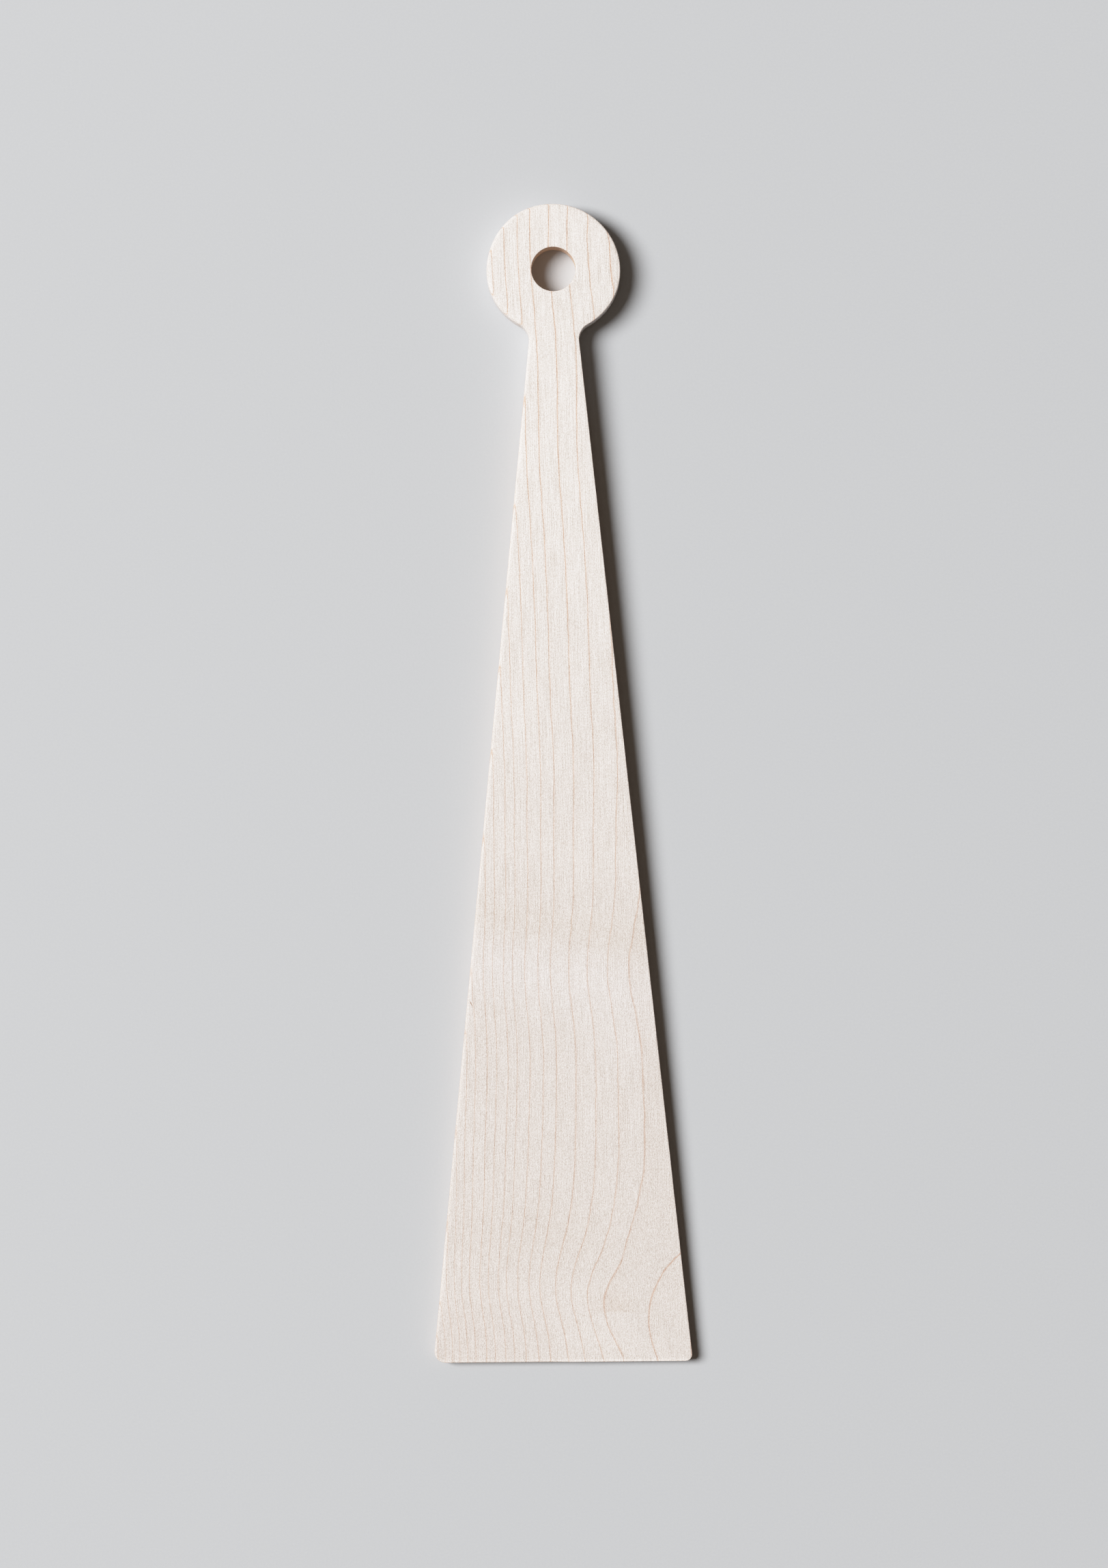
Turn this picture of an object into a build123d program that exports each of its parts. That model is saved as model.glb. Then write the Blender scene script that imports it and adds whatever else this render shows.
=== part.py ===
from build123d import *
import os

# Kitchen spatula, cut and sanded from one board of pale maple.
# It lies on its flat underside. +Y runs from the blade's tip to the hanging head,
# +Z goes up through the thickness, and +X is to the right, seen from above.
# The origin is on the underside, at the middle of the length. Sizes are in millimetres.

# Outline, seen from above
overall_length = 330.0
blade_width = 74.1  # across the tip, measured to its corners before they are rounded
neck_width = 13.9  # between the straight edges, level with the lowest point of the head's curve
head_width = 38.1
head_drop = 17.7  # from the head's widest line down to the lowest point of its curve
neck_fillet_radius = 4.8  # where each straight edge runs into the head
left_corner_radius = 3.2
right_corner_radius = 1.9

# Hanging hole
hole_diameter = 12.6
hole_offset = 0.6  # from the head's widest line, away from the blade

# Thickness, from the underside up
neck_thickness = 8.0
tip_thickness = 4.0
face_crown = 0.42  # the blade's rise above a straight taper, halfway from neck to tip
taper_offset = 6.0  # from the lowest point of the head's curve to where the blade starts to thin

# Radius sanded on every edge of the two faces
edge_radius = 0.45

# Places along the length
tip_y = -overall_length / 2
end_y = overall_length / 2
head_y = end_y - head_width / 2
neck_y = head_y - head_drop
taper_y = neck_y - taper_offset
hole_y = head_y + hole_offset


def half_width(y):
    # From the middle line to a straight edge, which comes in evenly towards the head
    toward_neck = (y - tip_y) / (neck_y - tip_y)
    return (blade_width + (neck_width - blade_width) * toward_neck) / 2


def head_outline():
    # Half a circle above the widest line, and a slightly flatter half ellipse below it
    above = CenterArc((0, head_y), head_width / 2, 0, 180)
    below = EllipticalCenterArc((0, head_y), head_width / 2, head_drop, 180, arc_size=180)
    return make_face([above, below])


def tip_corners(outline):
    # The two ends of the tip's straight edge, the left one first
    return outline.vertices().group_by(Axis.Y)[0].sort_by(Axis.X)


def neck_corners(outline):
    # The two inner corners where the straight edges meet the head
    return outline.vertices().group_by(Axis.Y)[1]


def board_outline():
    # The tapering board runs up into the middle of the head, and the two are one face
    taper = make_face(
        Polyline(
            (-half_width(tip_y), tip_y),
            (half_width(tip_y), tip_y),
            (half_width(head_y), head_y),
            (-half_width(head_y), head_y),
            close=True,
        )
    )
    outline = taper + head_outline()
    outline = fillet(neck_corners(outline), neck_fillet_radius)
    outline = fillet(tip_corners(outline)[0], left_corner_radius)
    outline = fillet(tip_corners(outline)[-1], right_corner_radius)
    return outline - Pos(0, hole_y) * Circle(hole_diameter / 2)


def side_profile():
    # Flat below. Above, a long curve rises from the tip to the neck, and the head carries on
    # straight from the end of that curve.
    mid_y = (tip_y + taper_y) / 2
    mid_thickness = (tip_thickness + neck_thickness) / 2 + face_crown
    blade_top = ThreePointArc((tip_y, tip_thickness), (mid_y, mid_thickness), (taper_y, neck_thickness))
    rise = blade_top % 1
    head_thickness = neck_thickness + rise.Y / rise.X * (end_y - taper_y)
    rest = Polyline(
        (taper_y, neck_thickness),
        (end_y, head_thickness),
        (end_y, 0),
        (tip_y, 0),
        (tip_y, tip_thickness),
    )
    return Plane.YZ * make_face([blade_top, rest])


def make_spatula():
    # The outline is sawn through the board, whose upper face is planed to the side profile
    profile = side_profile()
    sawn = extrude(board_outline(), amount=profile.bounding_box().max.Z)
    body = sawn & extrude(profile, amount=blade_width, both=True)

    # Every edge where an upright wall meets one of the two faces is sanded round
    walls = body.faces().filter_by(lambda face: abs(face.normal_at().Z) < 0.5)
    return fillet(walls.edges().filter_by(Axis.Z, reverse=True), edge_radius)


os.makedirs("parts", exist_ok=True)
spatula = make_spatula()
spatula.label = "spatula_body"
export_step(spatula, "parts/spatula_body.step")
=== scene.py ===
import math

import bpy
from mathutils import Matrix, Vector


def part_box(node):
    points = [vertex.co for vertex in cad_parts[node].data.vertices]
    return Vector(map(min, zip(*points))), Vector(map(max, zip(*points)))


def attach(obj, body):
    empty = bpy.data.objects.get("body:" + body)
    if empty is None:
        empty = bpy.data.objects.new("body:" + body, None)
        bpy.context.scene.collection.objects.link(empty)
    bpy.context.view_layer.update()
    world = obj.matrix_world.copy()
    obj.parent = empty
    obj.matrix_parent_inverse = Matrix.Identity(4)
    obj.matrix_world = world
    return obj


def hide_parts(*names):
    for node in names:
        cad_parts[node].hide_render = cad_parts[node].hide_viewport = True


mm = 0.001  # Blender works in metres
noiseMiddle = 0.5  # Blender's noise lies around this
noiseGain = 4.0  # and this makes it run mostly from -1 to 1

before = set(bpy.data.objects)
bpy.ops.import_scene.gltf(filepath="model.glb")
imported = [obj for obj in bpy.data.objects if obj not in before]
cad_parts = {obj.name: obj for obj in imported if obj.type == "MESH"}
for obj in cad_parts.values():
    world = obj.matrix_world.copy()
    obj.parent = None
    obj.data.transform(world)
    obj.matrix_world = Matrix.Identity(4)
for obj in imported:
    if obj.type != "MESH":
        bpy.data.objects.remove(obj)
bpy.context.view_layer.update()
boardLow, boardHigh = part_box("spatula_body")
tipY = boardLow.y / mm
endY = boardHigh.y / mm
print("stage 1: frame loaded, board from", round(tipY), "to", round(endY), "mm")

# The board's outline seen from above, and its thickness from the underside up
board = {
    "tipWidth": 74.1,
    "neckWidth": 13.9,
    "headWidth": 38.1,
    "headDrop": 17.7,  # from the head's widest line down to the lowest point of its curve
    "neckFillet": 4.8,
    "leftCorner": 3.2,
    "rightCorner": 1.9,
    "holeWidth": 12.6,
    "holeRise": 0.6,  # from the head's widest line up to the hole's middle
    "headSwell": 0.35,  # how far the hand-cut rim stands out at its fullest
    "swellAngle": 122.0,  # degrees from +X, where it is fullest
    "swellSpread": 32.0,  # degrees
    "neckThickness": 8.0,
    "tipThickness": 4.0,
    "faceCrown": 0.42,  # rise of the face above a straight taper, halfway down the blade
    "taperDrop": 6.0,  # from the lowest point of the head's curve to where the taper starts
    "straightStep": 2.0,  # spacing of the outline's points on straight edges
    "roundStep": 0.7,  # and around curves
    "fewestSteps": 6,  # that an arc gets, however short
    "tangentTo": 1e-9,  # radians, how closely the neck fillet's end is found
}
headY = endY - board["headWidth"] / 2
neckY = headY - board["headDrop"]
taperY = neckY - board["taperDrop"]
holeY = headY + board["holeRise"]


def halfWidth(y):
    towardNeck = (y - tipY) / (neckY - tipY)
    return (board["tipWidth"] + (board["neckWidth"] - board["tipWidth"]) * towardNeck) / 2


def arcPoints(centre, radiusX, radiusY, start, end):
    # Points on an arc from one angle to the other in degrees, both ends included
    length = abs(math.radians(end - start)) * max(radiusX, radiusY)
    count = max(board["fewestSteps"], round(length / board["roundStep"]))
    points = []
    for i in range(count + 1):
        angle = math.radians(start + (end - start) * i / count)
        x = centre[0] + radiusX * math.cos(angle)
        y = centre[1] + radiusY * math.sin(angle)
        points.append((x, y))
    return points


def straightPoints(first, last):
    # Points between two places, with neither of them
    count = max(1, round(math.dist(first, last) / board["straightStep"]))
    runX, runY = last[0] - first[0], last[1] - first[1]
    shares = [i / count for i in range(1, count)]
    return [(first[0] + runX * share, first[1] + runY * share) for share in shares]


def neckTangent(lean):
    # Angle on the head's lower curve where the neck fillet meets it, and the fillet's middle
    radiusX = board["headWidth"] / 2
    radiusY = board["headDrop"]
    low, high = -math.pi / 2, 0.0
    while high - low > board["tangentTo"]:
        angle = (low + high) / 2
        outX, outY = math.cos(angle) / radiusX, math.sin(angle) / radiusY
        scale = board["neckFillet"] / math.hypot(outX, outY)
        centreX = radiusX * math.cos(angle) + outX * scale
        centreY = headY + radiusY * math.sin(angle) + outY * scale
        gap = (centreX - halfWidth(neckY)) * math.cos(lean) + (centreY - neckY) * math.sin(lean)
        if gap < board["neckFillet"]:
            low = angle
        else:
            high = angle
    return angle, (centreX, centreY)


def rightSide(cornerRadius):
    # From the tip's corner up to the top of the head
    lean = math.atan((halfWidth(tipY) - halfWidth(neckY)) / (neckY - tipY))
    cornerY = tipY + cornerRadius
    cornerX = halfWidth(cornerY) - cornerRadius / math.cos(lean)
    corner = arcPoints((cornerX, cornerY), cornerRadius, cornerRadius, -90, math.degrees(lean))
    angle, centre = neckTangent(lean)
    radiusX = board["headWidth"] / 2
    meetX = radiusX * math.cos(angle)
    meetY = headY + board["headDrop"] * math.sin(angle)
    toHead = math.degrees(math.atan2(meetY - centre[1], meetX - centre[0]))
    fromEdge = 180 + math.degrees(lean)
    fillet = arcPoints(centre, board["neckFillet"], board["neckFillet"], fromEdge, toHead)
    lower = arcPoints((0, headY), radiusX, board["headDrop"], math.degrees(angle), 0)
    upper = arcPoints((0, headY), radiusX, radiusX, 0, 90)
    return corner + straightPoints(corner[-1], fillet[0]) + fillet + lower[1:] + upper[1:]


def swollen(point):
    # The hand-cut head is slightly fuller at its upper left
    x, y = point[0], point[1] - headY
    if y < -board["headDrop"]:
        return point
    away = math.degrees(math.atan2(y, x)) % 360 - board["swellAngle"]
    fullness = math.exp(-((away / board["swellSpread"]) ** 2))
    grow = 1 + fullness * board["headSwell"] * 2 / board["headWidth"]
    return (x * grow, headY + y * grow)


def outlinePoints():
    right = rightSide(board["rightCorner"])
    left = [(-x, y) for x, y in reversed(rightSide(board["leftCorner"]))]
    loop = right + left[1:]
    tip = straightPoints(loop[-1], loop[0])
    return [swollen(p) for p in loop] + tip


def holePoints():
    # Clockwise, so that the wood lies on the same side of this line as of the outline
    radius = board["holeWidth"] / 2
    return arcPoints((0, holeY), radius, radius, 360, 0)[:-1]


def addSpline(curve, points):
    spline = curve.splines.new("POLY")
    spline.points.add(len(points) - 1)
    for place, (x, y) in zip(spline.points, points):
        place.co = (x * mm, y * mm, 0, 1)
    spline.use_cyclic_u = True


def addNode(tree, kind, inputs=None, **settings):
    # Inputs go by name or number, and are values or other nodes' sockets
    node = tree.nodes.new(kind)
    for name, value in settings.items():
        setattr(node, name, value)
    for name, value in (inputs or {}).items():
        if isinstance(value, bpy.types.NodeSocket):
            tree.links.new(value, node.inputs[name])
        else:
            node.inputs[name].default_value = value
    return node


def calc(tree, operation, *terms, clamp=False):
    node = addNode(tree, "ShaderNodeMath", dict(enumerate(terms)), operation=operation)
    node.use_clamp = clamp
    return node.outputs[0]


def negated(tree, value):
    return calc(tree, "MULTIPLY", value, -1.0)


def progress(tree, value, start, length, clamp=False):
    # How far the value has come from the start, counted in lengths
    return calc(tree, "DIVIDE", calc(tree, "SUBTRACT", value, start), length, clamp=clamp)


def hypotenuse(tree, first, second):
    squares = calc(tree, "MULTIPLY_ADD", first, first, calc(tree, "MULTIPLY", second, second))
    return calc(tree, "SQRT", squares)


def blend(tree, share, first, second):
    inputs = {"Factor": share, "A": first, "B": second}
    return addNode(tree, "ShaderNodeMix", inputs, data_type="FLOAT").outputs[0]


def centred(tree, noise):
    return calc(tree, "MULTIPLY_ADD", noise, noiseGain, -noiseGain * noiseMiddle)


def splitPlace(tree, place):
    split = addNode(tree, "ShaderNodeSeparateXYZ", {"Vector": place}).outputs
    return split["X"], split["Y"], split["Z"]


def joinPlace(tree, parts):
    return addNode(tree, "ShaderNodeCombineXYZ", parts).outputs[0]


# How the edges are sanded: the face rolls off faintly, turns round and runs down the wall
easing = {
    "radius": 0.35,
    "rollWidth": 1.2,
    "rollDrop": 0.012,
    "wallBand": 0.25,
    "rollSteps": 4,
    "roundSteps": 5,
    "unevenness": 0.15,  # share of the easing that the hand leaves uneven
    "patch": 14.0,  # length of an uneven patch
    "patchDetail": 1.0,
    "leftScale": 2.3,  # the left edge is sanded rounder than the radius says
    "rightScale": 0.55,  # the blade's right edge stays crisper
    "headScale": 1.1,  # and so, less, does the head's right rim
    "leftReach": 5.0,  # width over which left passes into right
    "headReach": 8.0,  # length over which blade passes into head
    "headRoll": 0.12,  # how far the head's face falls off towards its two sides
    "tipShare": 0.5,  # the tip's edge is sanded only this much
    "tipReach": 12.0,  # up to this far from the tip
    "holeShare": 0.6,  # and the hole's edge this much
    "holeReach": 8.0,  # from the hole's middle
    "weld": 0.001,  # points closer than this are one
    "sideMargin": 0.3,  # how near to 1 or 0 a point is taken as above or below
}

# The small nick in the face beside the left edge
nick = {
    "start": (-25.7, -61.6),
    "end": (-25.05, -63.1),
    "width": 0.24,
    "depth": 0.14,
    "core": 0.7,  # share of its half width that is fully darkened
    "rim": 1.2,  # where the darkening ends
    "fineness": 4,  # how finely its cutter is divided
}
nickLength = math.dist(nick["start"], nick["end"])
nickX = (nick["start"][0] + nick["end"][0]) / 2
nickY = (nick["start"][1] + nick["end"][1]) / 2
nickTurn = math.atan2(nick["end"][1] - nick["start"][1], nick["end"][0] - nick["start"][0])

# Geometry Nodes: the outline is sawn through the board, planed to its taper and sanded
sawInputs = {
    "Tip Y": tipY * mm,
    "Taper Length": (taperY - tipY) * mm,
    "Tip Thickness": board["tipThickness"] * mm,
    "Rise": (board["neckThickness"] - board["tipThickness"]) * mm,
    "Crown": board["faceCrown"] * mm,
    "Edge Radius": easing["radius"] * mm,
    "Roll Width": easing["rollWidth"] * mm,
    "Roll Drop": easing["rollDrop"] * mm,
    "Wall Band": easing["wallBand"] * mm,
    "Unevenness": easing["unevenness"],
    "Left Scale": easing["leftScale"],
    "Right Scale": easing["rightScale"],
    "Head Scale": easing["headScale"],
    "Left Reach": easing["leftReach"] * mm,
    "Head Reach": easing["headReach"] * mm,
    "Head Roll": easing["headRoll"] * mm,
    "Head Half": board["headWidth"] / 2 * mm,
    "Neck Y": neckY * mm,
    "Patch Length": easing["patch"] * mm,
    "Tip Share": easing["tipShare"],
    "Tip Reach": easing["tipReach"] * mm,
    "Hole Y": holeY * mm,
    "Hole Share": easing["holeShare"],
    "Hole Reach": easing["holeReach"] * mm,
    "Weld": easing["weld"] * mm,
    "Nick Length": nickLength * mm,
    "Nick Width": nick["width"] * mm,
    "Nick Depth": nick["depth"] * mm,
    "Nick X": nickX * mm,
    "Nick Y": nickY * mm,
    "Nick Turn": nickTurn,
}
sawCounts = {
    "Roll Steps": easing["rollSteps"],
    "Round Steps": easing["roundSteps"],
}
sawTree = bpy.data.node_groups.new("sawPlaneAndSand", "GeometryNodeTree")
sawTree.interface.new_socket("Geometry", in_out="INPUT", socket_type="NodeSocketGeometry")
for socketName in sawInputs:
    sawTree.interface.new_socket(socketName, in_out="INPUT", socket_type="NodeSocketFloat")
for socketName in sawCounts:
    sawTree.interface.new_socket(socketName, in_out="INPUT", socket_type="NodeSocketInt")
sawTree.interface.new_socket("Finish", in_out="INPUT", socket_type="NodeSocketMaterial")
sawTree.interface.new_socket("Geometry", in_out="OUTPUT", socket_type="NodeSocketGeometry")
sawIn = sawTree.nodes.new("NodeGroupInput").outputs


def heightField(tree, y):
    # The face's height over the underside: a shallow curve up the blade, then straight.
    # The curve is a parabola, which bends by four times its rise at the middle.
    share = progress(tree, y, sawIn["Tip Y"], sawIn["Taper Length"])
    onBlade = calc(tree, "MINIMUM", share, 1.0)
    beyond = calc(tree, "MAXIMUM", calc(tree, "SUBTRACT", share, 1.0), 0.0)
    bend = calc(tree, "MULTIPLY", sawIn["Crown"], 4.0)
    left = calc(tree, "SUBTRACT", 1.0, onBlade)
    steep = calc(tree, "MULTIPLY_ADD", bend, left, sawIn["Rise"])
    blade = calc(tree, "MULTIPLY_ADD", steep, onBlade, sawIn["Tip Thickness"])
    slope = calc(tree, "SUBTRACT", sawIn["Rise"], bend)
    return calc(tree, "MULTIPLY_ADD", slope, beyond, blade)


def keepValue(tree, geometry, name, value):
    inputs = {"Geometry": geometry, "Name": name, "Value": value}
    kind = "GeometryNodeStoreNamedAttribute"
    return addNode(tree, kind, inputs, data_type="FLOAT", domain="POINT").outputs[0]


def keptValue(tree, name):
    kind = "GeometryNodeInputNamedAttribute"
    return addNode(tree, kind, {"Name": name}, data_type="FLOAT").outputs[0]


def movedTo(tree, geometry, place):
    inputs = {"Geometry": geometry, "Position": place}
    return addNode(tree, "GeometryNodeSetPosition", inputs).outputs[0]


def sectionCurve(tree):
    # The edge's section from face to face. Offsets count from the outline inwards, and
    # heights from the nearer face, so the taper is put in afterwards.
    rollSteps, roundSteps = sawIn["Roll Steps"], sawIn["Round Steps"]
    turnEnd = calc(tree, "ADD", rollSteps, roundSteps)
    perFace = calc(tree, "ADD", turnEnd, 2.0)  # with the first point and one down the wall
    count = calc(tree, "MULTIPLY", perFace, 2.0)
    line = addNode(tree, "GeometryNodeCurvePrimitiveLine").outputs[0]
    shared = {"Curve": line, "Count": count}
    points = addNode(tree, "GeometryNodeResampleCurve", shared).outputs[0]
    index = addNode(tree, "GeometryNodeInputIndex").outputs[0]
    mirrored = calc(tree, "SUBTRACT", calc(tree, "SUBTRACT", count, 1.0), index)
    rank = calc(tree, "MINIMUM", index, mirrored)
    above = calc(tree, "GREATER_THAN", index, mirrored)

    # The face's roll, then the quarter turn, then the wall
    rolled = calc(tree, "DIVIDE", rank, rollSteps, clamp=True)
    toRoll = calc(tree, "SUBTRACT", 1.0, rolled)
    offset = calc(tree, "MULTIPLY", toRoll, sawIn["Roll Width"])
    height = calc(tree, "MULTIPLY", calc(tree, "MULTIPLY", rolled, rolled), sawIn["Roll Drop"])
    turned = progress(tree, rank, rollSteps, roundSteps, clamp=True)
    angle = calc(tree, "MULTIPLY", turned, math.pi / 2)
    inward = calc(tree, "SUBTRACT", 1.0, calc(tree, "SINE", angle))
    offset = calc(tree, "MULTIPLY_ADD", inward, sawIn["Edge Radius"], offset)
    downward = calc(tree, "SUBTRACT", 1.0, calc(tree, "COSINE", angle))
    height = calc(tree, "MULTIPLY_ADD", downward, sawIn["Edge Radius"], height)
    onWall = calc(tree, "SUBTRACT", rank, turnEnd, clamp=True)
    height = calc(tree, "MULTIPLY_ADD", onWall, sawIn["Wall Band"], height)
    eased = calc(tree, "SUBTRACT", calc(tree, "GREATER_THAN", rank, rollSteps), onWall)
    place = joinPlace(tree, {"X": negated(tree, offset), "Y": negated(tree, height)})
    section = movedTo(tree, points, place)
    for name, value in (("rolled", rolled), ("above", above), ("eased", eased)):
        section = keepValue(tree, section, name, value)
    return section


def nickCutter(tree):
    # A ball one unit across, drawn out to a thin lens lying in the face along the nick
    ball = {"Radius": 0.5, "Subdivisions": nick["fineness"]}
    lens = addNode(tree, "GeometryNodeMeshIcoSphere", ball).outputs[0]
    height = calc(tree, "MULTIPLY", sawIn["Nick Depth"], 2.0)  # half of it is in the wood
    spread = {"X": sawIn["Nick Length"], "Y": sawIn["Nick Width"], "Z": height}
    level = heightField(tree, sawIn["Nick Y"])
    middle = {"X": sawIn["Nick X"], "Y": sawIn["Nick Y"], "Z": level}
    inputs = {
        "Geometry": lens,
        "Translation": joinPlace(tree, middle),
        "Rotation": joinPlace(tree, {"Z": sawIn["Nick Turn"]}),
        "Scale": joinPlace(tree, spread),
    }
    return addNode(tree, "GeometryNodeTransform", inputs).outputs[0]


def headShare(tree, y):
    # 0 on the blade, passing to 1 on the head, and halfway at the neck
    fromNeck = progress(tree, y, sawIn["Neck Y"], sawIn["Head Reach"])
    return calc(tree, "ADD", fromNeck, 0.5, clamp=True)


def outsideHole(tree, x, y):
    # 0 at the hole's edge, 1 at the outline
    fromHole = hypotenuse(tree, calc(tree, "SUBTRACT", y, sawIn["Hole Y"]), x)
    return calc(tree, "GREATER_THAN", fromHole, sawIn["Hole Reach"])


def headFall(tree, x, y):
    # How far the head's face has fallen off at its rim, most at the two sides
    aside = calc(tree, "DIVIDE", x, sawIn["Head Half"])
    share = calc(tree, "MULTIPLY", aside, keptValue(tree, "rolled"))
    fall = calc(tree, "MULTIPLY", calc(tree, "MULTIPLY", share, share), sawIn["Head Roll"])
    atRim = calc(tree, "MULTIPLY", headShare(tree, y), outsideHole(tree, x, y))
    return calc(tree, "MULTIPLY", fall, atRim)


def sandingScale(tree, place):
    # How heavily the edge is sanded here: uneven by hand, and lightly at the tip and hole
    patchScale = calc(tree, "DIVIDE", 1.0, sawIn["Patch Length"])
    patchy = {"Vector": place, "Scale": patchScale, "Detail": easing["patchDetail"]}
    patches = addNode(tree, "ShaderNodeTexNoise", patchy).outputs[0]
    byHand = calc(tree, "MULTIPLY_ADD", centred(tree, patches), sawIn["Unevenness"], 1.0)
    x, y, _ = splitPlace(tree, place)
    rightwards = calc(tree, "DIVIDE", x, sawIn["Left Reach"])
    onLeft = calc(tree, "SUBTRACT", 0.5, rightwards, clamp=True)
    onRight = blend(tree, headShare(tree, y), sawIn["Right Scale"], sawIn["Head Scale"])
    bySide = blend(tree, onLeft, onRight, sawIn["Left Scale"])
    fromTip = progress(tree, y, sawIn["Tip Y"], sawIn["Tip Reach"], clamp=True)
    outline = calc(tree, "MULTIPLY", bySide, blend(tree, fromTip, sawIn["Tip Share"], 1.0))
    scale = blend(tree, outsideHole(tree, x, y), sawIn["Hole Share"], outline)
    return calc(tree, "MULTIPLY", byHand, scale)


def fillRim(tree, edge, above, side):
    # The flat face that fills the open rim on one side: 1 is above, 0 is below
    neighbours = addNode(tree, "GeometryNodeInputMeshEdgeNeighbors").outputs[0]
    oneOnly = {2: neighbours, 3: 1}  # the inputs for whole numbers
    how = {"data_type": "INT", "operation": "EQUAL"}
    isOpen = addNode(tree, "FunctionNodeCompare", oneOnly, **how).outputs[0]
    sideMatch = {"A": above, "B": side, "Epsilon": easing["sideMargin"]}
    onSide = addNode(tree, "FunctionNodeCompare", sideMatch, operation="EQUAL").outputs[0]
    both = {0: isOpen, 1: onSide}
    picked = addNode(tree, "FunctionNodeBooleanMath", both, operation="AND").outputs[0]
    chosen = {"Mesh": edge, "Selection": picked}
    rims = {"Curve": addNode(tree, "GeometryNodeMeshToCurve", chosen).outputs[0]}
    filled = addNode(tree, "GeometryNodeFillCurve", rims, mode="TRIANGLES").outputs[0]
    if side == 0.0:
        filled = addNode(tree, "GeometryNodeFlipFaces", {"Mesh": filled}).outputs[0]
    return keepValue(tree, filled, "above", side)


def buildSawTree(tree):
    # The edge section is swept round both outlines, and a face fills the rims on each side
    place = addNode(tree, "GeometryNodeInputPosition").outputs[0]
    sweep = {
        "Curve": sawIn["Geometry"],
        "Profile Curve": sectionCurve(tree),
        "Scale": sandingScale(tree, place),
    }
    swept = addNode(tree, "GeometryNodeCurveToMesh", sweep).outputs[0]
    edge = addNode(tree, "GeometryNodeFlipFaces", {"Mesh": swept}).outputs[0]
    above = keptValue(tree, "above")
    joined = tree.nodes.new("GeometryNodeJoinGeometry")
    for part in (edge, fillRim(tree, edge, above, 1.0), fillRim(tree, edge, above, 0.0)):
        tree.links.new(part, joined.inputs[0])

    # Upper points hang from the tapered face, lower points stand on the underside
    x, y, z = splitPlace(tree, place)
    face = calc(tree, "SUBTRACT", heightField(tree, y), headFall(tree, x, y))
    height = blend(tree, above, z, calc(tree, "SUBTRACT", face, z))
    raised = movedTo(tree, joined.outputs[0], joinPlace(tree, {"X": x, "Y": y, "Z": height}))
    weld = {"Geometry": raised, "Distance": sawIn["Weld"]}
    closed = addNode(tree, "GeometryNodeMergeByDistance", weld).outputs[0]

    # The nick is cut out, with a sharp lip
    meshes = {"Mesh 1": closed, "Mesh 2": nickCutter(tree)}
    how = {"operation": "DIFFERENCE", "solver": "EXACT"}
    cut = addNode(tree, "GeometryNodeMeshBoolean", meshes, **how).outputs
    whole = {"Geometry": cut[0]}
    smooth = addNode(tree, "GeometryNodeSetShadeSmooth", whole, domain="FACE").outputs[0]
    lip = {"Geometry": smooth, "Selection": cut[1], "Shade Smooth": False}
    crisp = addNode(tree, "GeometryNodeSetShadeSmooth", lip, domain="EDGE").outputs[0]
    real = addNode(tree, "GeometryNodeRealizeInstances", {"Geometry": crisp}).outputs[0]
    finish = {"Geometry": real, "Material": sawIn["Finish"]}
    coated = addNode(tree, "GeometryNodeSetMaterial", finish).outputs[0]
    tree.links.new(coated, tree.nodes.new("NodeGroupOutput").inputs["Geometry"])


def makeBody(material):
    outline = bpy.data.curves.new("outline", "CURVE")
    outline.dimensions = "3D"
    addSpline(outline, outlinePoints())
    addSpline(outline, holePoints())
    blank = bpy.data.objects.new("outline", outline)
    bpy.context.collection.objects.link(blank)
    saw = blank.modifiers.new("saw", "NODES")
    saw.node_group = sawTree
    sockets = [item for item in sawTree.interface.items_tree if item.in_out == "INPUT"]
    socketIds = {item.name: item.identifier for item in sockets}
    for socketName, value in {**sawInputs, **sawCounts, "Finish": material}.items():
        saw[socketIds[socketName]] = value
    graph = bpy.context.evaluated_depsgraph_get()
    made = blank.evaluated_get(graph)
    keeping = {"preserve_all_data_layers": True, "depsgraph": graph}
    mesh = bpy.data.meshes.new_from_object(made, **keeping)
    blank.modifiers.remove(saw)
    bpy.data.objects.remove(blank)
    piece = bpy.data.objects.new("spatula", mesh)
    bpy.context.collection.objects.link(piece)
    return piece


# The growth rings are shells around a pith that lies under the right edge and wanders a little.
# Rings are counted outwards from the one whose dark line makes the arc at the tip's right.
rings = {
    "pithX": 39.16,
    "pithSway": -0.02,  # its sideways drift in each mm of length
    "pithDepth": 70.0,  # below the underside
    "pithClimb": 0.0098,  # its rise in each mm of length
    "firstRadius": 74.2,
    "widths": (4.1, 1.8, 2.1, 2.2, 2.5, 1.8, 2.0, 2.0, 1.5, 1.9, 1.6, 2.1, 1.6, 1.5),
    "innerWidth": 2.4,
    "outerWidth": 1.5,
    "innerCount": 4,
    "outerCount": 6,
    "flattest": 0.2,  # lowest steepness that still thins a dark line
    "wobble": 0.05,
    "wobbleWidth": 2.0,
    "wobbleLength": 6.0,
    "wobbleDetail": 2.0,
    "slopeStep": 0.5,  # length over which the shells' slope is taken
}

# Where the shells bulge: how high, where along the length, how long, and how far the bulge leans
bulges = {
    "blade": (0.94, -53.6, 15.0, -0.04),
    "tip": (1.63, -126.6, 31.0, 0.55),
    "foot": (-1.48, -155.5, 10.95, -0.06),
    "aboveTip": (-0.93, -124.1, 24.3, -0.20),
    "middle": (-0.27, 5.3, 15.0, 0.0),
    "neck": (0.67, 95.2, 26.3, 0.0),
    "head": (1.10, 152.2, 24.9, -0.04),
}

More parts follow.
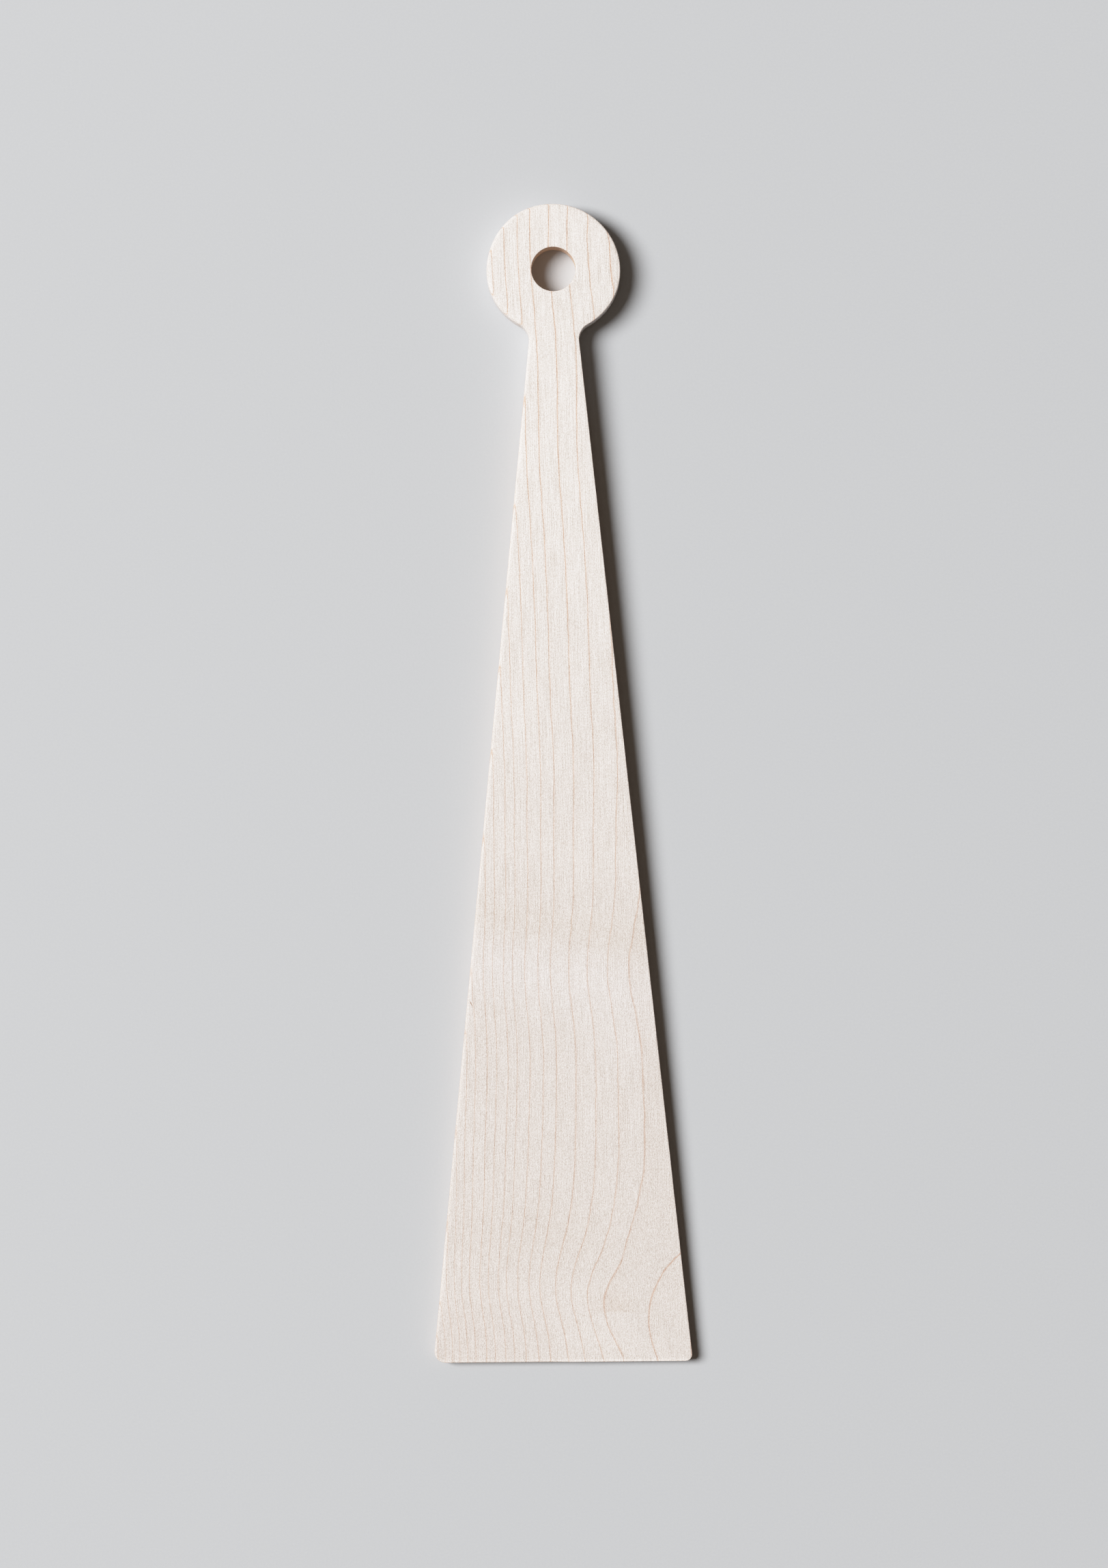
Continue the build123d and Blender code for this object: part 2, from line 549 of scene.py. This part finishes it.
# The swirl near the tip, sharpest where the grain kinks
swirl = {
    "height": 3.91,
    "y": -149.6,
    "length": 7.07,
    "lean": 0.183,  # on the right half
    "x": 17.0,
    "reach": 5.9,
    "softness": 0.88,
}

# How the maple looks. Lengths along and across the grain are in mm.
maple = {
    "tip": (0.725, 0.650, 0.605),
    "head": (0.860, 0.782, 0.730),
    "tipToneY": -45.0,  # from here to the tip the tone is the tip's
    "headToneY": 90.0,
    "rightPaintedShade": 0.022,  # painted shade: the right side, away from the lamp, is darker by this share
    "rightFrom": 0.3,  # share of the half width where that starts
    "rightFull": 0.9,
    "tipContrast": 0.62,  # lines and streaks show this much at the tip, and fully at the head
    "lineTint": (0.755, 0.568, 0.478),
    "lineWidth": 0.17,
    "lineFirst": 1.06,  # strength of the innermost lines
    "lineFade": 0.008,  # lost with each ring outwards
    "arcBoost": 0.45,  # gained by the line that makes the arc
    "lineChance": 0.2,
    "lineBreaks": 0.12,
    "dashWidth": 0.5,
    "dashLength": 6.0,
    "tailLength": 0.6,
    "tailDepth": 0.1,
    "ringTone": 0.018,  # a ring is up to half this share darker or paler than the rest
    "ringTint": (0.989, 0.982, 0.976),  # the last of a ring is warmer than its start
    "lateFrom": 0.3,  # share of the ring where that starts
    "fleckWidth": 0.22,
    "fleckLength": 0.4,
    "fleckDark": (0.75, 0.73, 0.71),
    "fleckLight": (1.25, 1.27, 1.29),
    "streakWidth": 0.2,
    "streakLength": 10.0,
    "streakShift": 1.0,  # in board lengths, so that streaks and flecks don't match
    "streakDark": (0.83, 0.82, 0.805),
    "streakLight": (1.17, 1.18, 1.195),
    "cloudWidth": 4.0,
    "cloudLength": 14.0,
    "cloudDetail": 2.0,
    "cloudDepth": 0.016,
    "wallTint": (0.74, 0.62, 0.51),
    "headWallTint": (0.875, 0.91, 0.945),
    "wallPassing": 40.0,  # length over which the blade's tint passes into the head's
    # the hole wall's warm tint is partly painted warm light bounced inside the hole
    "holeWallTint": (0.92, 0.80, 0.69),
    "wallPale": 0.5,  # share of that tint at the top of the walls
    "wallDarkTo": 0.4,  # share of their height up to which it is full
    "endTint": (0.90, 0.85, 0.80),
    "flat": 0.7,  # a surface that leans less than this counts as face
    "upright": 0.2,  # and from this on as wall
    "tipHighlight": 0.22,  # painted highlight: a line just inside the blade's end is paler by this share
    "tipHighlightIn": 0.35,  # how far inside it lies
    "tipHighlightWidth": 0.35,
    "easedTint": (0.985, 0.975, 0.965),
    "nickTint": (0.37, 0.24, 0.17),
    "roughness": 0.6,
    "roughSpread": 0.04,
    "specular": 0.35,
    "relief": 0.02,
    "lineRelief": 0.5,  # how far the dark lines sink, against the fibres
}

# Painted sheen and shade: soft patches where the grain catches more or less light, painted into
# the colour.
# Middle x and y, width, length, how far the patch leans, and its tint
figureSheen = {
    "paleMiddle": (4.0, -19.0, 60.0, 8.0, 0.1, (1.04, 1.04, 1.04)),
    "paleBand": (0.0, -55.5, 90.0, 9.5, 0.19, (1.082, 1.094, 1.115)),
    "darkBand": (0.0, -40.5, 90.0, 5.5, 0.19, (0.975, 0.968, 0.955)),
    "rightMiddle": (17.0, -73.0, 9.0, 8.0, 0.1, (1.05, 1.055, 1.065)),
    "belowSwirl": (14.0, -156.0, 14.0, 4.5, 0.18, (1.06, 1.06, 1.06)),
    "tipLeft": (-28.0, -158.0, 20.0, 12.0, 0.0, (0.973, 0.962, 0.960)),
    "aboveTip": (-8.0, -130.0, 24.0, 10.0, 0.1, (0.962, 0.957, 0.950)),
    "aboveSwirl": (-6.0, -146.0, 36.0, 4.5, 0.05, (1.04, 1.04, 1.04)),
    "neckLeft": (-11.0, 18.0, 7.0, 14.0, 0.0, (1.06, 1.06, 1.06)),
}

# Painted sheen and shade at the crease in the swirl, where the grain turns: darker above it,
# paler below
crease = {
    "x": 15.0,
    "y": -150.2,
    "width": 5.5,
    "length": 5.5,
    "lean": 0.05,
    "softness": 0.4,
    "above": (0.935, 0.91, 0.89),
    "below": (1.045, 1.05, 1.055),
}


def blendColour(tree, share, first, second, mode="MIX"):
    # The colour mix has its two colours at inputs 6 and 7, and its result at output 2
    first = (*first, 1) if isinstance(first, tuple) else first
    second = (*second, 1) if isinstance(second, tuple) else second
    inputs = {"Factor": share, 6: first, 7: second}
    return addNode(tree, "ShaderNodeMix", inputs, data_type="RGBA", blend_type=mode).outputs[2]


def tinted(tree, share, colour, tint):
    return blendColour(tree, share, colour, tint, "MULTIPLY")


def scaled(tree, vector, share):
    inputs = {"Vector": vector, "Scale": share}
    return addNode(tree, "ShaderNodeVectorMath", inputs, operation="SCALE").outputs[0]


def remap(tree, value, low, high, toLow=0.0, toHigh=1.0, kind="LINEAR"):
    inputs = {0: value, 1: low, 2: high, 3: toLow, 4: toHigh}
    return addNode(tree, "ShaderNodeMapRange", inputs, interpolation_type=kind).outputs[0]


def bell(tree, ratio):
    # 1 where the ratio is 0, falling away smoothly on both sides
    return calc(tree, "EXPONENT", negated(tree, calc(tree, "MULTIPLY", ratio, ratio)))


def grainNoise(tree, grain, width, length, detail=1.0, shift=0.0):
    # Noise drawn out along the fibres, mostly from -1 to 1. The shift is in board lengths.
    out, along, around = grain
    stretched = {
        "X": calc(tree, "DIVIDE", out, width),
        "Y": calc(tree, "MULTIPLY_ADD", along, 1 / length, shift * (endY - tipY) / length),
        "Z": calc(tree, "DIVIDE", around, width),
    }
    inputs = {"Vector": joinPlace(tree, stretched), "Scale": 1.0, "Detail": detail}
    return centred(tree, addNode(tree, "ShaderNodeTexNoise", inputs).outputs[0])


def luck(tree, number):
    # Drawn by the whole number, from -0.5 to 0.5
    drawn = addNode(tree, "ShaderNodeTexWhiteNoise", {"W": number}, noise_dimensions="1D")
    return calc(tree, "SUBTRACT", drawn.outputs[0], 0.5)


def pithField(tree, x, y):
    # Where the pith runs below this place
    pithX = calc(tree, "MULTIPLY_ADD", y, rings["pithSway"], rings["pithX"])
    pithZ = calc(tree, "MULTIPLY_ADD", y, rings["pithClimb"], -rings["pithDepth"])
    for height, middle, length, lean in bulges.values():
        leaning = calc(tree, "MULTIPLY_ADD", x, lean, y)
        swell = bell(tree, progress(tree, leaning, middle, length))
        pithZ = calc(tree, "MULTIPLY_ADD", swell, height, pithZ)

    # The swirl rises to a crease, which softens away from its sharpest place
    onRight = calc(tree, "MAXIMUM", x, 0.0)
    leaning = calc(tree, "MULTIPLY_ADD", onRight, swirl["lean"], y)
    ratio = progress(tree, leaning, swirl["y"], swirl["length"])
    beside = calc(tree, "ABSOLUTE", calc(tree, "SUBTRACT", x, swirl["x"]))
    soft = calc(tree, "MULTIPLY_ADD", beside, 1 / swirl["reach"], swirl["softness"])
    away = hypotenuse(tree, ratio, soft)
    swell = calc(tree, "EXPONENT", calc(tree, "SUBTRACT", soft, away))
    return pithX, calc(tree, "MULTIPLY_ADD", swell, swirl["height"], pithZ)


def placeInTree(tree, x, y, z):
    # Out from the pith, along it and around it, and how steeply the shells stand to the face
    pithX, pithZ = pithField(tree, x, y)
    aside = calc(tree, "SUBTRACT", x, pithX)
    over = calc(tree, "SUBTRACT", z, pithZ)
    radius = hypotenuse(tree, aside, over)
    angle = calc(tree, "ARCTAN2", aside, over)
    around = calc(tree, "MULTIPLY", angle, rings["firstRadius"])
    onwards = calc(tree, "ADD", y, rings["slopeStep"])
    climb = calc(tree, "SUBTRACT", pithField(tree, x, onwards)[1], pithZ)
    slope = calc(tree, "DIVIDE", climb, rings["slopeStep"])
    lengthwise = calc(tree, "MULTIPLY", over, slope)
    steepness = calc(tree, "DIVIDE", hypotenuse(tree, aside, lengthwise), radius)
    return (radius, y, around), steepness


def ringField(tree, grain):
    # Ring number: each ring adds one as the radius crosses it
    across, along = rings["wobbleWidth"], rings["wobbleLength"]
    wobble = grainNoise(tree, grain, across, along, rings["wobbleDetail"])
    radius = calc(tree, "MULTIPLY_ADD", wobble, rings["wobble"], grain[0])
    inner = [rings["innerWidth"]] * rings["innerCount"]
    outer = [rings["outerWidth"]] * rings["outerCount"]
    edge = rings["firstRadius"] - sum(inner)
    number = 0.0
    for width in (*inner, *rings["widths"], *outer):
        number = calc(tree, "ADD", number, remap(tree, radius, edge, edge + width))
        edge += width
    return number


def ringLines(tree, grain, steepness, number, contrast):
    # The dark line where a ring ends, and its faint tail on the inner side. A flat-lying
    # shell shows wide on the face, but its dark line stays about as thin.
    nearest = calc(tree, "ROUND", number)
    past = calc(tree, "MULTIPLY", calc(tree, "SUBTRACT", number, nearest), rings["innerWidth"])
    past = calc(tree, "DIVIDE", past, calc(tree, "MAXIMUM", steepness, rings["flattest"]))
    outwards = calc(tree, "SUBTRACT", nearest, rings["innerCount"])
    firmness = calc(tree, "MULTIPLY_ADD", outwards, -maple["lineFade"], maple["lineFirst"])
    firmness = calc(tree, "MULTIPLY_ADD", luck(tree, nearest), maple["lineChance"], firmness)
    onArc = calc(tree, "COMPARE", outwards, 0.0, 0.5)
    firmness = calc(tree, "MULTIPLY_ADD", onArc, maple["arcBoost"], firmness)
    broken = grainNoise(tree, grain, maple["dashWidth"], maple["dashLength"])
    firmness = calc(tree, "MULTIPLY_ADD", broken, maple["lineBreaks"], firmness)
    firmness = calc(tree, "MULTIPLY", firmness, contrast)
    line = bell(tree, calc(tree, "DIVIDE", past, maple["lineWidth"]))
    line = calc(tree, "MULTIPLY", line, firmness, clamp=True)
    before = calc(tree, "DIVIDE", calc(tree, "MINIMUM", past, 0.0), maple["tailLength"])
    depth = calc(tree, "MULTIPLY", firmness, maple["tailDepth"])
    depth = calc(tree, "MULTIPLY", depth, calc(tree, "LESS_THAN", past, 0.0))
    tail = calc(tree, "MULTIPLY", calc(tree, "EXPONENT", before), depth, clamp=True)
    return line, tail


def nickShade(tree, here):
    # 1 inside the nick, 0 outside, right through the thickness
    inputs = {
        "Vector": here,
        "Location": (nickX * mm, nickY * mm, board["tipThickness"] * mm),
        "Rotation": (0, 0, nickTurn),
        "Scale": (nickLength / 2 * mm, nick["width"] / 2 * mm, board["neckThickness"] * mm),
    }
    place = addNode(tree, "ShaderNodeMapping", inputs, vector_type="TEXTURE").outputs[0]
    measured = {"Vector": place}
    away = addNode(tree, "ShaderNodeVectorMath", measured, operation="LENGTH").outputs["Value"]
    return remap(tree, away, nick["core"], nick["rim"], 1.0, 0.0)


def withFigureSheen(tree, colour, x, y):
    # Painted sheen and shade: the figure's soft patches, laid over the colour
    for middleX, middleY, width, length, lean, tint in figureSheen.values():
        across = bell(tree, progress(tree, x, middleX, width))
        leaning = calc(tree, "MULTIPLY_ADD", x, lean, y)
        along = bell(tree, progress(tree, leaning, middleY, length))
        colour = tinted(tree, calc(tree, "MULTIPLY", across, along), colour, tint)
    return colour


def withCreaseSheen(tree, colour, x, y):
    # Painted sheen and shade around the crease
    across = bell(tree, progress(tree, x, crease["x"], crease["width"]))
    leaning = calc(tree, "MULTIPLY_ADD", x, crease["lean"], y)
    over = calc(tree, "SUBTRACT", leaning, crease["y"])
    along = bell(tree, calc(tree, "DIVIDE", over, crease["length"]))
    near = calc(tree, "MULTIPLY", across, along)
    upper = remap(tree, over, -crease["softness"], crease["softness"])
    lower = calc(tree, "SUBTRACT", 1.0, upper)
    colour = tinted(tree, calc(tree, "MULTIPLY", near, upper), colour, crease["above"])
    return tinted(tree, calc(tree, "MULTIPLY", near, lower), colour, crease["below"])


def faceColour(tree, x, y, grain, number, toHead):
    # Pinkish white at the head, a little darker and warmer down the blade
    cloudSize = (maple["cloudWidth"], maple["cloudLength"])
    clouds = grainNoise(tree, grain, *cloudSize, maple["cloudDetail"])
    byRing = luck(tree, calc(tree, "FLOOR", number))
    widening = (halfWidth(tipY) - halfWidth(neckY)) / (neckY - tipY)
    edgeX = calc(tree, "MULTIPLY_ADD", y, -widening, halfWidth(0))
    outwards = calc(tree, "DIVIDE", x, edgeX)
    # Painted shade: the face darkens towards its right side
    toRight = remap(tree, outwards, maple["rightFrom"], maple["rightFull"])
    # Painted highlight: a pale line just inside the blade's end
    tipHighlightShare = bell(tree, progress(tree, y, tipY + maple["tipHighlightIn"], maple["tipHighlightWidth"]))
    brightness = calc(tree, "MULTIPLY_ADD", clouds, maple["cloudDepth"], 1.0)
    brightness = calc(tree, "MULTIPLY_ADD", byRing, maple["ringTone"], brightness)
    brightness = calc(tree, "MULTIPLY_ADD", toRight, -maple["rightPaintedShade"], brightness)
    brightness = calc(tree, "MULTIPLY_ADD", tipHighlightShare, maple["tipHighlight"], brightness)
    colour = blendColour(tree, toHead, maple["tip"], maple["head"])
    colour = scaled(tree, colour, brightness)
    return withCreaseSheen(tree, withFigureSheen(tree, colour, x, y), x, y)


def fibred(tree, noise, colour, name):
    # Flecks or streaks, from their dark to their light
    share = calc(tree, "MULTIPLY_ADD", noise, 0.5, 0.5, clamp=True)
    fibres = blendColour(tree, share, maple[name + "Dark"], maple[name + "Light"])
    return tinted(tree, 1.0, colour, fibres)


def walled(tree, colour, x, y):
    # Walls are browner than the planed face, most towards their foot, which also dims the light
    # they throw onto the floor; end grain is darker, but the head's rim is nearly as pale as its
    # face. The hole's warm wall is partly painted warm light bounced inside the hole
    normal = addNode(tree, "ShaderNodeNewGeometry").outputs["Normal"]
    _, facingY, facingZ = splitPlace(tree, normal)
    level = calc(tree, "ABSOLUTE", facingZ)
    onWall = remap(tree, level, maple["flat"], maple["upright"])
    above = addNode(tree, "ShaderNodeAttribute", attribute_name="above").outputs["Fac"]
    eased = addNode(tree, "ShaderNodeAttribute", attribute_name="eased").outputs["Fac"]
    fromHole = hypotenuse(tree, calc(tree, "SUBTRACT", y, holeY), x)
    inHole = calc(tree, "LESS_THAN", fromHole, easing["holeReach"])
    onHead = remap(tree, y, neckY - maple["wallPassing"], neckY, kind="SMOOTHSTEP")
    wallTint = blendColour(tree, onHead, maple["wallTint"], maple["headWallTint"])
    wallTint = blendColour(tree, inHole, wallTint, maple["holeWallTint"])
    browning = remap(tree, above, maple["wallDarkTo"], 1.0, 1.0, maple["wallPale"])
    browned = calc(tree, "MULTIPLY", onWall, calc(tree, "MAXIMUM", browning, inHole))
    offHead = calc(tree, "SUBTRACT", 1.0, calc(tree, "SUBTRACT", onHead, inHole))
    endOn = calc(tree, "MULTIPLY", calc(tree, "ABSOLUTE", facingY), onWall)
    endOn = calc(tree, "MULTIPLY", endOn, offHead, clamp=True)
    colour = tinted(tree, eased, colour, maple["easedTint"])
    colour = tinted(tree, browned, colour, wallTint)
    return tinted(tree, endOn, colour, maple["endTint"])


def makeMaple():
    material = bpy.data.materials.new("paleMaple")
    material.use_nodes = True
    tree = material.node_tree
    shader = tree.nodes["Principled BSDF"]
    here = addNode(tree, "ShaderNodeTexCoord").outputs["Object"]
    x, y, z = splitPlace(tree, scaled(tree, here, 1 / mm))
    grain, steepness = placeInTree(tree, x, y, z)
    number = ringField(tree, grain)
    toHead = remap(tree, y, maple["tipToneY"], maple["headToneY"])
    contrast = remap(tree, toHead, 0.0, 1.0, maple["tipContrast"], 1.0)
    line, tail = ringLines(tree, grain, steepness, number, contrast)
    flecks = grainNoise(tree, grain, maple["fleckWidth"], maple["fleckLength"])
    streakSize = (maple["streakWidth"], maple["streakLength"])
    streaks = grainNoise(tree, grain, *streakSize, shift=maple["streakShift"])

    colour = faceColour(tree, x, y, grain, number, toHead)
    colour = fibred(tree, flecks, colour, "fleck")
    colour = fibred(tree, calc(tree, "MULTIPLY", streaks, contrast), colour, "streak")
    lateness = remap(tree, calc(tree, "FRACT", number), maple["lateFrom"], 1.0)
    colour = tinted(tree, lateness, colour, maple["ringTint"])
    colour = tinted(tree, tail, colour, maple["lineTint"])
    colour = tinted(tree, line, colour, maple["lineTint"])
    colour = walled(tree, colour, x, y)
    colour = blendColour(tree, nickShade(tree, here), colour, maple["nickTint"])
    tree.links.new(colour, shader.inputs["Base Color"])

    rough = calc(tree, "MULTIPLY_ADD", streaks, maple["roughSpread"], maple["roughness"])
    tree.links.new(rough, shader.inputs["Roughness"])
    shader.inputs["Specular IOR Level"].default_value = maple["specular"]
    fibreRelief = calc(tree, "ADD", flecks, streaks)
    relief = calc(tree, "MULTIPLY_ADD", line, -maple["lineRelief"], fibreRelief)
    bumpInputs = {"Height": relief, "Strength": 1.0, "Distance": maple["relief"] * mm}
    bump = addNode(tree, "ShaderNodeBump", bumpInputs).outputs[0]
    tree.links.new(bump, shader.inputs["Normal"])
    return material


buildSawTree(sawTree)
body = makeBody(makeMaple())
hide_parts("spatula_body")
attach(body, "root")
print("stage 2: body sawn, planed and sanded,", len(body.data.polygons), "faces")

floorLook = {
    "size": 6000.0,
    "colour": (0.507, 0.522, 0.541),
    "grain": 0.02,  # faint unevenness of the tone, like heavy paper
    "grainFrom": 0.25,  # the noise's usual range
    "grainTo": 0.75,
    "grainSize": 0.6,
    "grainDetail": 3.0,
    "roughness": 0.9,
}


def makeFloor():
    half = floorLook["size"] / 2 * mm
    corners = [(-half, -half, 0), (half, -half, 0), (half, half, 0), (-half, half, 0)]
    mesh = bpy.data.meshes.new("floor")
    mesh.from_pydata(corners, [], [(0, 1, 2, 3)])
    floor = bpy.data.objects.new("floor", mesh)
    bpy.context.collection.objects.link(floor)
    material = bpy.data.materials.new("paleFloor")
    material.use_nodes = True
    tree = material.node_tree
    shader = tree.nodes["Principled BSDF"]
    here = addNode(tree, "ShaderNodeTexCoord").outputs["Object"]
    fineness = 1 / (floorLook["grainSize"] * mm)
    spots = {"Vector": here, "Scale": fineness, "Detail": floorLook["grainDetail"]}
    noise = addNode(tree, "ShaderNodeTexNoise", spots).outputs[0]
    low, high = floorLook["grainFrom"], floorLook["grainTo"]
    shade = remap(tree, noise, low, high, 1 - floorLook["grain"], 1 + floorLook["grain"])
    tree.links.new(scaled(tree, floorLook["colour"], shade), shader.inputs["Base Color"])
    shader.inputs["Roughness"].default_value = floorLook["roughness"]
    mesh.materials.append(material)


# One large soft lamp high up on the left, a little towards the head
light = {
    "x": -4370.0,
    "y": 950.0,
    "z": 5450.0,
    "span": 3000.0,  # along the board
    "width": 4180.0,  # and across it
    "power": 775.0,  # watts
    "fill": (0.096, 0.0745, 0.0565),
}


def makeLight():
    lamp = bpy.data.lights.new("softKey", "AREA")
    lamp.shape = "ELLIPSE"
    lamp.size = light["span"] * mm
    lamp.size_y = light["width"] * mm
    lamp.energy = light["power"]
    key = bpy.data.objects.new("softKey", lamp)
    bpy.context.collection.objects.link(key)
    place = Vector((light["x"], light["y"], light["z"])) * mm
    key.location = place
    key.rotation_euler = place.to_track_quat("Z", "Y").to_euler()
    key.visible_camera = False
    world = bpy.data.worlds.new("studio")
    world.use_nodes = True
    world.node_tree.nodes["Background"].inputs["Color"].default_value = (*light["fill"], 1)
    bpy.context.scene.world = world


view = {
    "height": 1300.0,
    "centreX": -1.15,
    "frameLength": 448.96,  # what the picture's long side takes in on the floor
    "roll": -0.515,  # degrees
    "sensor": 36.0,
}


def makeCamera():
    data = bpy.data.cameras.new("fromAbove")
    data.sensor_width = view["sensor"]
    data.lens = view["sensor"] * view["height"] / view["frameLength"]
    camera = bpy.data.objects.new("fromAbove", data)
    bpy.context.collection.objects.link(camera)
    camera.location = (view["centreX"] * mm, 0, view["height"] * mm)
    camera.rotation_euler = (0, 0, math.radians(view["roll"]))
    bpy.context.scene.camera = camera


# Tones above the knee are drawn together towards white, as a camera does
tone = {
    "knee": 0.55,
    "white": 1.0,
    "brightest": 2.0,
    "steps": 20,
}


def toned(level):
    span = tone["white"] - tone["knee"]
    if level < tone["knee"]:
        return level
    return tone["knee"] + span * (1 - math.exp((tone["knee"] - level) / span))


def setTone():
    settings = bpy.context.scene.view_settings
    settings.view_transform = "Standard"
    settings.use_curve_mapping = True
    mapping = settings.curve_mapping
    mapping.clip_max_x = tone["brightest"]
    curve = mapping.curves[3]  # the one for all three colours together
    levels = [tone["brightest"] * step / tone["steps"] for step in range(tone["steps"] + 1)]
    curve.points[0].location = (levels[0], toned(levels[0]))
    curve.points[1].location = (levels[-1], toned(levels[-1]))
    for level in levels[1:-1]:
        curve.points.new(level, toned(level))
    mapping.update()


makeFloor()
makeLight()
makeCamera()
setTone()
print("stage 3: floor, lamp, camera and tone set")
